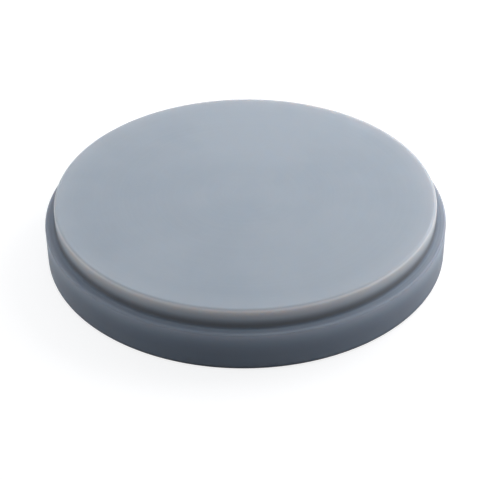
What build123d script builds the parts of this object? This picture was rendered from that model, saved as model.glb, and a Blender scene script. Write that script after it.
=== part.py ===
from build123d import *
import os

# A blank for milling dental work: one turned disc with a collar that the
# machine's holder grips, and a slightly smaller working body above it.
# Lengths are in millimetres. The origin is the centre of the underside, +Z up.

# Collar, the band that sits in the holder's ring
collar_diameter = 98.5
collar_height = 10.0

# Ledge, the step that the holder's clamp ring presses on
ledge_width = 2.5

# Working body, the round block above the ledge
body_rise = 5.0

# Edges: the base, the collar's rim and the ledge's root are round, the top is bevelled
base_edge_radius = 1.0
collar_edge_radius = 0.5
ledge_root_radius = 0.5
top_edge_chamfer = 0.5

# Sizes that follow
collar_radius = collar_diameter / 2
body_radius = collar_radius - ledge_width
disc_height = collar_height + body_rise


def vertex_at(section, corner):
    # The vertex of the section that lies at a corner
    return section.vertices().sort_by_distance(Vector(*corner))[0]


def half_section():
    # Half of the disc's section, from the axis out along the underside and back
    base_edge = (collar_radius, 0)
    collar_edge = (collar_radius, collar_height)
    ledge_root = (body_radius, collar_height)
    top_edge = (body_radius, disc_height)
    with BuildSketch(Plane.XZ) as section:
        with BuildLine():
            Polyline((0, 0), base_edge, collar_edge, ledge_root, top_edge, (0, disc_height), close=True)
        make_face()
        fillet(vertex_at(section, base_edge), base_edge_radius)
        fillet(vertex_at(section, collar_edge), collar_edge_radius)
        fillet(vertex_at(section, ledge_root), ledge_root_radius)
        chamfer(vertex_at(section, top_edge), top_edge_chamfer)
    return section.sketch


def milling_disc():
    # The section turned once round the disc's axis
    return revolve(half_section(), axis=Axis.Z)


os.makedirs("parts", exist_ok=True)
export_step(milling_disc(), "parts/milling_disc.step")
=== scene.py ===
import math

import bmesh
import bpy
from mathutils import Matrix, Vector


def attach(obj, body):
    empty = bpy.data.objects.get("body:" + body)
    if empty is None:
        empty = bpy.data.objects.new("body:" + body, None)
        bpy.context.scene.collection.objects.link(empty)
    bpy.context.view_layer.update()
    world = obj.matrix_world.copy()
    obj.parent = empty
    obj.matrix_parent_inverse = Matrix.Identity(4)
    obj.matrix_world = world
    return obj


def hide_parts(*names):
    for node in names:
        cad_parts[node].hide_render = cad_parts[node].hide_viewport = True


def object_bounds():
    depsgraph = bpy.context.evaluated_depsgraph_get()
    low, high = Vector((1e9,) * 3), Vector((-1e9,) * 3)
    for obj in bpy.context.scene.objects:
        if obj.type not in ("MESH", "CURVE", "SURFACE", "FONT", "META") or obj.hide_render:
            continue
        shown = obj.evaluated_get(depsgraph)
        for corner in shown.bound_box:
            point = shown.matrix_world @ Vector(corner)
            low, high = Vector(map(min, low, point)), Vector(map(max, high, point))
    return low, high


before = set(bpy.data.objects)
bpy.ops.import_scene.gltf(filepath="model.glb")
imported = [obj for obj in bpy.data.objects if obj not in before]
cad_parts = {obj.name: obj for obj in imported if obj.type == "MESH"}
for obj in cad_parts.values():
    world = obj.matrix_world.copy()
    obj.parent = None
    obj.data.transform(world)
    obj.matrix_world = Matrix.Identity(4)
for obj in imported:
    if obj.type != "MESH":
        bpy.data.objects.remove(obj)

# A stepped disc of blue-grey milling wax, lying on a pale floor.
# Lengths are in metres, +Z up, with the centre of the underside at the origin.

cadLow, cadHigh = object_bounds()
print("frame loaded, size in mm", [round(1000 * side, 2) for side in cadHigh - cadLow])


# Small tools

def startClean():
    bpy.ops.object.select_all(action="DESELECT")


def editMode(piece):
    bpy.context.view_layer.objects.active = piece
    bpy.ops.object.mode_set(mode="EDIT")


def objectMode():
    bpy.ops.object.mode_set(mode="OBJECT")


def pickFaces(piece, wanted):
    # selects the faces for which wanted(face) is true, in edit mode
    mesh = bmesh.from_edit_mesh(piece.data)
    for face in mesh.faces:
        face.select_set(False)
    for face in mesh.faces:
        if wanted(face):
            face.select_set(True)
    bmesh.update_edit_mesh(piece.data)


def pickRing(piece, radius, height):
    # selects the ring of edges that runs round the axis at a radius and height
    slack = 1e-6
    mesh = bmesh.from_edit_mesh(piece.data)
    for edge in mesh.edges:
        edge.select_set(False)
    for edge in mesh.edges:
        places = [vertex.co for vertex in edge.verts]
        atRadius = all(abs(place.xy.length - radius) < slack for place in places)
        atHeight = all(abs(place.z - height) < slack for place in places)
        if atRadius and atHeight:
            edge.select_set(True)
    bmesh.update_edit_mesh(piece.data)


def finishModifier(piece, kind, settings):
    # adds a modifier, sets it and applies it
    bpy.context.view_layer.objects.active = piece
    modifier = piece.modifiers.new(kind.lower(), kind)
    for name, value in settings.items():
        setattr(modifier, name, value)
    bpy.ops.object.modifier_apply(modifier=modifier.name)


class Wire:
    # an output socket of a node tree; arithmetic on it adds Math nodes
    def __init__(self, tree, socket=None):
        self.tree = tree
        self.socket = socket

    def node(self, kind, settings=None, sockets=None, output=0):
        made = self.tree.nodes.new(kind)
        for name, value in (settings or {}).items():
            setattr(made, name, value)
        for name, value in (sockets or {}).items():
            if isinstance(value, Wire):
                self.tree.links.new(value.socket, made.inputs[name])
            else:
                made.inputs[name].default_value = value
        return Wire(self.tree, made.outputs[output])

    def other(self, output):
        # another output of the same node
        return Wire(self.tree, self.socket.node.outputs[output])

    def maths(self, operation, first, second):
        return self.node("ShaderNodeMath", {"operation": operation}, {0: first, 1: second})

    def __add__(self, value):
        return self.maths("ADD", self, value)

    __radd__ = __add__

    def __mul__(self, value):
        return self.maths("MULTIPLY", self, value)

    __rmul__ = __mul__

    def __sub__(self, value):
        return self.maths("SUBTRACT", self, value)

    def __rsub__(self, value):
        return self.maths("SUBTRACT", value, self)

    def __truediv__(self, value):
        return self.maths("DIVIDE", self, value)

    def __rtruediv__(self, value):
        return self.maths("DIVIDE", value, self)

    def __pow__(self, value):
        return self.maths("POWER", self, value)

    def ease(self, low, high):
        # 0 below low, 1 above high, smooth between
        return self.node(
            "ShaderNodeMapRange",
            {"interpolation_type": "SMOOTHSTEP"},
            {"Value": self, "From Min": low, "From Max": high},
        )


def newMaterial(name):
    material = bpy.data.materials.new(name)
    material.use_nodes = True
    material.node_tree.nodes.clear()
    return material, Wire(material.node_tree)


def endTree(start, kind, surface):
    # joins a finished shader to the tree's output node
    output = start.tree.nodes.new(kind)
    start.tree.links.new(surface.socket, output.inputs["Surface"])


def mixColour(start, amount, first, second, blend="MIX"):
    made = start.tree.nodes.new("ShaderNodeMix")
    made.data_type = "RGBA"
    made.blend_type = blend
    for name, value in (("Factor_Float", amount), ("A_Color", first), ("B_Color", second)):
        socket = next(s for s in made.inputs if s.identifier == name)
        if isinstance(value, Wire):
            start.tree.links.new(value.socket, socket)
        else:
            socket.default_value = value
    return Wire(start.tree, next(s for s in made.outputs if s.identifier == "Result_Color"))


# The disc

disc = {
    "ledgeWidth": 0.0025,  # from the collar's rim in to the working body
    "collarHeight": 0.010,
    "baseRound": 0.0010,
    "collarRound": 0.0005,
    "rootRound": 0.0005,
    "topBevel": 0.0005,
    "bevelSoftening": 0.00028,  # takes the knife edge off both sides of the bevel
    "aroundCount": 256,  # faces round the rim
    "roundCount": 8,  # faces across each rounded edge
    "softCount": 5,  # faces across each softened side of the bevel
    "faceRings": 6,  # rings that each flat face is divided into
}


def modelDisc(low, high):
    collarRadius = (high.x - low.x) / 2
    bodyRadius = collarRadius - disc["ledgeWidth"]
    ledgeHeight = disc["collarHeight"]
    topHeight = high.z
    startClean()
    bpy.ops.mesh.primitive_cylinder_add(
        vertices=disc["aroundCount"],
        radius=collarRadius,
        depth=ledgeHeight,
        end_fill_type="NGON",
        location=(0, 0, ledgeHeight / 2),
    )
    piece = bpy.context.active_object
    piece.name = "waxDisc"
    bpy.ops.object.transform_apply(location=True, rotation=True, scale=True)

    # the working body rises out of the collar's top face
    editMode(piece)
    level = 0.99  # a face lies flat if its normal points up or down by more than this
    smallFace = 4  # corners of the faces round the disc, where the two flat faces have many
    bpy.ops.mesh.select_mode(type="FACE")
    pickFaces(piece, lambda face: face.normal.z > level)
    bpy.ops.mesh.inset(thickness=disc["ledgeWidth"])
    rise = (0, 0, topHeight - ledgeHeight)
    bpy.ops.mesh.extrude_region_move(TRANSFORM_OT_translate={"value": rise})

    # each edge: its radius, its height, the width to take off and the faces across it
    bevel, softening = disc["topBevel"], disc["bevelSoftening"]
    edges = (
        (collarRadius, 0.0, disc["baseRound"], disc["roundCount"]),
        (collarRadius, ledgeHeight, disc["collarRound"], disc["roundCount"]),
        (bodyRadius, ledgeHeight, disc["rootRound"], disc["roundCount"]),
        (bodyRadius, topHeight, bevel, 1),
        (bodyRadius, topHeight - bevel, softening, disc["softCount"]),
        (bodyRadius - bevel, topHeight, softening, disc["softCount"]),
    )
    bpy.ops.mesh.select_mode(type="EDGE")
    for radius, height, width, count in edges:
        pickRing(piece, radius, height)
        bpy.ops.mesh.bevel(offset=width, segments=count, profile=0.5)

    # rings on the two flat faces, closed to a point at the middle
    bpy.ops.mesh.select_mode(type="FACE")
    flats = ((1, bodyRadius - bevel), (-1, collarRadius - disc["baseRound"]))
    for side, faceRadius in flats:
        pickFaces(piece, lambda face: face.normal.z * side > level and len(face.verts) > smallFace)
        for ring in range(disc["faceRings"]):
            bpy.ops.mesh.inset(thickness=faceRadius / (disc["faceRings"] + 1))
        bpy.ops.mesh.poke()
    objectMode()

    bpy.ops.object.shade_smooth()
    finishModifier(piece, "WEIGHTED_NORMAL", {"weight": 50, "keep_sharp": False})
    return piece


waxDisc = modelDisc(cadLow, cadHigh)
print("disc modelled,", len(waxDisc.data.polygons), "faces")


# The wax

wax = {
    "colour": (0.343, 0.385, 0.442, 1),
    "paleCloud": (0.370, 0.410, 0.464, 1),
    "duskCloud": (0.320, 0.363, 0.420, 1),
    "cloudScale": 38.0,
    "cloudRange": (0.35, 0.65),
    "calmShare": 0.5,  # how far the clouds are brought back to the plain colour
    "grainScale": 900.0,
    "lineColour": (0.420, 0.475, 0.520, 1),
    "lineScale": 1800.0,  # how close together the turning lines lie
    "lineWander": 0.6,  # how much a line changes on its way round
    "lineRange": (0.40, 0.72),
    "lineShare": 0.8,
    "linesElsewhere": 0.08,  # how strong they are off the ledge
    "linesAcross": (0.0, 0.0003),  # where they begin on the ledge, from the wall outwards
    "linesUp": (-0.0004, -0.0001),  # and up to the ledge's level
    "speckColour": (0.48, 0.52, 0.55, 1),
    "speckScale": 95.0,
    "speckSize": (0.012, 0.035),
    "speckChance": (0.86, 0.90),
    "speckShare": 0.6,
    "roughness": 0.46,
    "grainRoughness": 0.10,
    "cloudRoughness": 0.08,
    "ledgePolish": 0.04,  # the cut ledge is a little smoother
    "grainRelief": 0.35,
    "lineRelief": 0.65,
    "reliefStrength": 0.25,
    "reliefHeight": 0.00002,
    "refraction": 1.44,
    "shine": 0.06,
    "depth": 0.0060,  # how far light travels inside the wax
    "bleed": (1.0, 0.76, 0.64),  # the share of that depth for red, green and blue
}

# painted light and shade: the wax is painted pale along the two upper edges, standing in for the light that
# thin edges let through, and painted dark where little light comes out, in the corner between them and at
# the foot
paintedLightAndShade = {
    # the colour of the painted light that stands in for light coming through the thin upper edges
    "pale": (0.625, 0.65, 0.685, 1),
    "wallReach": 0.0042,  # how far the painted light goes down the body's wall
    "bevelPart": 0.8,  # the part of the bevel's width on which the wall begins
    "faceShare": 0.09,  # the flat face has a little painted light too, beside its edge
    "faceReach": 0.0065,
    "rimShare": 0.42,  # less painted light on the collar's rim, as the collar is thicker
    "rimFull": 0.0007,  # how far below the ledge's level the rim's painted light is strongest
    "rimReach": 0.0042,
    "rimPart": 0.6,  # the part of the rim's round on which the rim begins
    # the colour of the painted shade
    "paintedShade": (0.20, 0.20, 0.215, 1),
    "cornerRise": 0.0006,  # the painted shade is darkest this far above the ledge
    "cornerReach": 0.0020,
    "ledgeHaste": 5.0,  # the painted shade ends sooner across the ledge than up the wall
    "ledgeShare": 0.38,  # how much painted shade the rest of the ledge gets
    "ledgeAcross": (0.0002, 0.0012),  # where that begins, from the wall outwards
    "ledgeDown": (0.0002, 0.0008),  # and where it ends, from the ledge's level down
    "footShare": 0.42,  # how much painted shade the collar's wall gets towards its foot
    "footDown": (0.001, 0.006),
    "baseShare": 0.80,  # how much painted shade the base's round gets
    "baseUp": (0.0002, 0.0016),
    "baseEdge": 0.3,  # the part of that round, next to the wall, that has all of its painted shade
    "collarPaintedShade": (0.84, 0.88, 0.95, 1),  # painted shade: the collar below the ledge's level is painted a little darker and bluer
}


def turningLines(start, across, deep, radius, height):
    # rings left by the turning tool, drawn in noise that hardly changes round the axis
    around = start.node(
        "ShaderNodeCombineXYZ",
        {},
        {
            "X": across / radius * wax["lineWander"],
            "Y": deep / radius * wax["lineWander"],
            "Z": radius * wax["lineScale"],
        },
    )
    return start.node(
        "ShaderNodeTexNoise",
        {"noise_dimensions": "4D"},
        {"Vector": around, "W": height * wax["lineScale"], "Scale": 1.0, "Detail": 2.0, "Roughness": 0.5},
    )


# paints light along the upper edges, and shade in the corner, on the ledge, at the foot and below the
# ledge's level, into the wax's colour
def paintEdgeLightAndShade(start, colour, radius, height, collarRadius, topHeight):
    bodyRadius = collarRadius - disc["ledgeWidth"]
    ledgeHeight = disc["collarHeight"]
    fromWall = radius - bodyRadius
    belowLedge = ledgeHeight - height
    aboveLedge = height.ease(ledgeHeight, ledgeHeight + disc["rootRound"])
    wallFrom = bodyRadius - disc["topBevel"] * paintedLightAndShade["bevelPart"]
    onWall = radius.ease(wallFrom, bodyRadius) * aboveLedge
    rimFrom = collarRadius - disc["collarRound"] * paintedLightAndShade["rimPart"]
    onRim = radius.ease(rimFrom, collarRadius)

    onFace = (1 - onWall) * aboveLedge
    # painted light: paler down the body's wall from its top edge, on the flat face beside that edge and
    # below the collar's rim
    wallPaintedLight = onWall * (1 - (topHeight - height).ease(0.0, paintedLightAndShade["wallReach"]))
    facePaintedLight = onFace * radius.ease(bodyRadius - paintedLightAndShade["faceReach"], bodyRadius - disc["topBevel"])
    rimPaintedLight = onRim * (1 - belowLedge.ease(0.0, paintedLightAndShade["rimReach"]))
    rimPaintedLight = rimPaintedLight * belowLedge.ease(0.0, paintedLightAndShade["rimFull"])
    pale = wallPaintedLight + facePaintedLight * paintedLightAndShade["faceShare"] + rimPaintedLight * paintedLightAndShade["rimShare"]
    colour = mixColour(start, pale, colour, paintedLightAndShade["pale"])

    # painted shade: darker in the corner between the wall and the ledge, across the ledge, towards the
    # collar's foot and on the base's round
    fromCorner = height - (ledgeHeight + paintedLightAndShade["cornerRise"])
    fromCorner = (fromWall * fromWall * paintedLightAndShade["ledgeHaste"] + fromCorner * fromCorner) ** 0.5
    cornerPaintedShade = 1 - fromCorner.ease(0.0, paintedLightAndShade["cornerReach"])
    ledgePaintedShade = fromWall.ease(*paintedLightAndShade["ledgeAcross"]) * (1 - belowLedge.ease(*paintedLightAndShade["ledgeDown"]))
    footPaintedShade = onRim * belowLedge.ease(*paintedLightAndShade["footDown"])
    baseFull = collarRadius - disc["baseRound"] * paintedLightAndShade["baseEdge"]
    basePaintedShade = radius.ease(collarRadius - disc["baseRound"], baseFull)
    basePaintedShade = basePaintedShade * (1 - height.ease(*paintedLightAndShade["baseUp"]))
    paintedShade = cornerPaintedShade + ledgePaintedShade * paintedLightAndShade["ledgeShare"]
    paintedShade = paintedShade + footPaintedShade * paintedLightAndShade["footShare"] + basePaintedShade * paintedLightAndShade["baseShare"]
    colour = mixColour(start, paintedShade, colour, paintedLightAndShade["paintedShade"])
    # painted shade: everything below the ledge's level is painted a little darker and bluer
    return mixColour(start, 1 - aboveLedge, colour, paintedLightAndShade["collarPaintedShade"], "MULTIPLY")


def paleSpecks(start, place):
    # tiny, few and far between
    cells = start.node("ShaderNodeTexVoronoi", {}, {"Vector": place, "Scale": wax["speckScale"]}, "Distance")
    chance = start.node("ShaderNodeSeparateXYZ", {}, {"Vector": cells.other("Color")}, "X")
    return (1 - cells.ease(*wax["speckSize"])) * chance.ease(*wax["speckChance"])


def waxMaterial(low, high):
    material, start = newMaterial("millingWax")
    collarRadius = (high.x - low.x) / 2
    bodyRadius = collarRadius - disc["ledgeWidth"]
    place = start.node("ShaderNodeTexCoord", output="Object")
    across = start.node("ShaderNodeSeparateXYZ", {}, {"Vector": place}, "X")
    deep, height = across.other("Y"), across.other("Z")
    radius = (across * across + deep * deep) ** 0.5

    # cloudy colour, as in a cast block, and a fine grain that shows only in gloss and relief
    cloud = start.node(
        "ShaderNodeTexNoise",
        {},
        {"Vector": place, "Scale": wax["cloudScale"], "Detail": 3.0, "Roughness": 0.55},
    )
    grain = start.node(
        "ShaderNodeTexNoise",
        {},
        {"Vector": place, "Scale": wax["grainScale"], "Detail": 4.0, "Roughness": 0.6},
    )
    colour = mixColour(start, cloud.ease(*wax["cloudRange"]), wax["duskCloud"], wax["paleCloud"])
    colour = mixColour(start, wax["calmShare"], colour, wax["colour"])

    # turning lines, plain to see on the ledge and faint elsewhere
    lines = turningLines(start, across, deep, radius, height)
    fromWall, fromLedge = radius - bodyRadius, height - disc["collarHeight"]
    onLedge = fromWall.ease(*wax["linesAcross"]) * fromLedge.ease(*wax["linesUp"])
    lineDepth = wax["linesElsewhere"] + (1 - wax["linesElsewhere"]) * onLedge
    lineAmount = lines.ease(*wax["lineRange"]) * lineDepth * wax["lineShare"]
    colour = mixColour(start, lineAmount, colour, wax["lineColour"])

    # painted light along the upper edges and painted shade in the corner, on the ledge, at the foot and on
    # the collar
    colour = paintEdgeLightAndShade(start, colour, radius, height, collarRadius, high.z)
    colour = mixColour(start, paleSpecks(start, place) * wax["speckShare"], colour, wax["speckColour"])

    roughness = wax["roughness"] + (grain - 0.5) * wax["grainRoughness"]
    roughness = roughness + (cloud - 0.5) * wax["cloudRoughness"] - onLedge * wax["ledgePolish"]
    relief = grain * wax["grainRelief"] + lines * lineDepth * wax["lineRelief"]
    normal = start.node(
        "ShaderNodeBump",
        {},
        {"Strength": wax["reliefStrength"], "Distance": wax["reliefHeight"], "Height": relief},
    )
    surface = start.node(
        "ShaderNodeBsdfPrincipled",
        {"subsurface_method": "RANDOM_WALK"},
        {
            "Base Color": colour,
            "Roughness": roughness,
            "Normal": normal,
            "IOR": wax["refraction"],
            "Specular IOR Level": wax["shine"],
            "Subsurface Weight": 1.0,
            "Subsurface Radius": wax["bleed"],
            "Subsurface Scale": wax["depth"],
        },
    )
    endTree(start, "ShaderNodeOutputMaterial", surface)
    return material


waxDisc.data.materials.append(waxMaterial(cadLow, cadHigh))
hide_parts("milling_disc")
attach(waxDisc, "root")
print("wax mixed,", len(waxDisc.active_material.node_tree.nodes), "nodes")


# Floor, light and camera

studio = {
    "floorSize": 6.0,
    "floorDrop": 0.00005,  # keeps the floor just clear of the underside
    "floorShade": (0.30, 0.30, 0.31, 1),  # takes the lamps and the disc's soft shadow
    "floorGlow": (0.80, 0.80, 0.80, 1),  # lifts the floor to white round the disc
    "farGlow": (1, 1, 1, 1),  # and meets the white surroundings far from it
    "farRange": (0.15, 0.70),  # where the one gives way to the other
    "floorBounce": (0.10, 0.105, 0.115, 1),  # what the floor throws back on the disc
    "worldGlow": (0.13, 0.15, 0.165, 1),  # what the surroundings throw on it
    "worldWhite": (1, 1, 1, 1),
}

# each lamp faces the disc: degrees round from the back towards the right, degrees up,
# metres away, watts
panels = {
    "leftPanel": (-90, 15, 0.80, 1.75),
    "leftBackPanel": (-45, 40, 0.80, 1.05),
    "backPanel": (0, 40, 0.80, 1.05),
    "rightBackPanel": (45, 40, 0.80, 0.75),
    "rightPanel": (90, 15, 0.80, 1.80),
    "rightFrontPanel": (135, 15, 0.80, 0.70),
    "highRightPanel": (60, 40, 0.80, 2.30),
    "highFrontPanel": (180, 65, 0.80, 0.70),
    "nearRightPanel": (45, 30, 0.25, 0.190),
}

panelShape = {
    "across": 0.625,  # times its distance
    "up": 0.4375,
}

viewCamera = {
    "elevation": 35.238,
    "roll": -0.793,
    "distance": 0.358138,
    "aimRight": 0.001421,  # how far the base's centre lies from the middle of the view
    "aimUp": -0.000643,
    "lens": 106.91,
    "sensor": 36.0,
    "nearest": 0.01,
}


def seenRays(start):
    # 1 for what the camera sees, also in gloss and through glass, and 0 for light on the disc
    rays = start.node("ShaderNodeLightPath", output="Is Camera Ray")
    return rays + rays.other("Is Glossy Ray") + rays.other("Is Transmission Ray")


def makeFloor():
    startClean()
    bpy.ops.mesh.primitive_plane_add(size=studio["floorSize"], location=(0, 0, -studio["floorDrop"]))
    floor = bpy.context.active_object
    floor.name = "floor"
    material, start = newMaterial("paleFloor")
    place = start.node("ShaderNodeTexCoord", output="Object")
    away = start.node("ShaderNodeVectorMath", {"operation": "LENGTH"}, {0: place}, "Value")
    glow = mixColour(start, away.ease(*studio["farRange"]), studio["floorGlow"], studio["farGlow"])
    glow = start.node("ShaderNodeEmission", {}, {"Color": glow, "Strength": 1.0})
    shade = start.node("ShaderNodeBsdfDiffuse", {}, {"Color": studio["floorShade"]})
    pale = start.node("ShaderNodeAddShader", {}, {0: shade, 1: glow})
    bounce = start.node("ShaderNodeBsdfDiffuse", {}, {"Color": studio["floorBounce"]})
    surface = start.node("ShaderNodeMixShader", {}, {0: seenRays(start), 1: bounce, 2: pale})
    endTree(start, "ShaderNodeOutputMaterial", surface)
    floor.data.materials.append(material)


def makeWorld():
    world = bpy.data.worlds.new("studioWorld")
    bpy.context.scene.world = world
    world.use_nodes = True
    world.node_tree.nodes.clear()
    start = Wire(world.node_tree)
    glow = start.node("ShaderNodeBackground", {}, {"Color": studio["worldGlow"], "Strength": 1.0})
    white = start.node("ShaderNodeBackground", {}, {"Color": studio["worldWhite"], "Strength": 1.0})
    surface = start.node("ShaderNodeMixShader", {}, {0: seenRays(start), 1: glow, 2: white})
    endTree(start, "ShaderNodeOutputWorld", surface)


def makePanel(name, around, up, distance, watts):
    light = bpy.data.lights.new(name, "AREA")
    light.shape = "RECTANGLE"
    light.size = panelShape["across"] * distance
    light.size_y = panelShape["up"] * distance
    light.energy = watts
    panel = bpy.data.objects.new(name, light)
    bpy.context.scene.collection.objects.link(panel)
    around, up = math.radians(around), math.radians(up)
    toPanel = Vector((math.sin(around) * math.cos(up), math.cos(around) * math.cos(up), math.sin(up)))
    place = Matrix.Translation(toPanel * distance)
    panel.matrix_world = place @ toPanel.to_track_quat("Z", "Y").to_matrix().to_4x4()
    panel.visible_camera = False


def makeCamera():
    data = bpy.data.cameras.new("viewCamera")
    data.sensor_width = viewCamera["sensor"]
    data.lens = viewCamera["lens"]
    data.clip_start = viewCamera["nearest"]
    camera = bpy.data.objects.new("viewCamera", data)
    bpy.context.scene.collection.objects.link(camera)
    tilt = Matrix.Rotation(math.radians(90 - viewCamera["elevation"]), 4, "X")
    roll = Matrix.Rotation(math.radians(viewCamera["roll"]), 4, "Z")
    away = Matrix.Translation((-viewCamera["aimRight"], -viewCamera["aimUp"], viewCamera["distance"]))
    camera.matrix_world = tilt @ roll @ away
    bpy.context.scene.camera = camera


makeFloor()
makeWorld()
for name, facts in panels.items():
    makePanel(name, *facts)
makeCamera()
bpy.context.scene.view_settings.view_transform = "Standard"
print("floor, lights and camera placed")
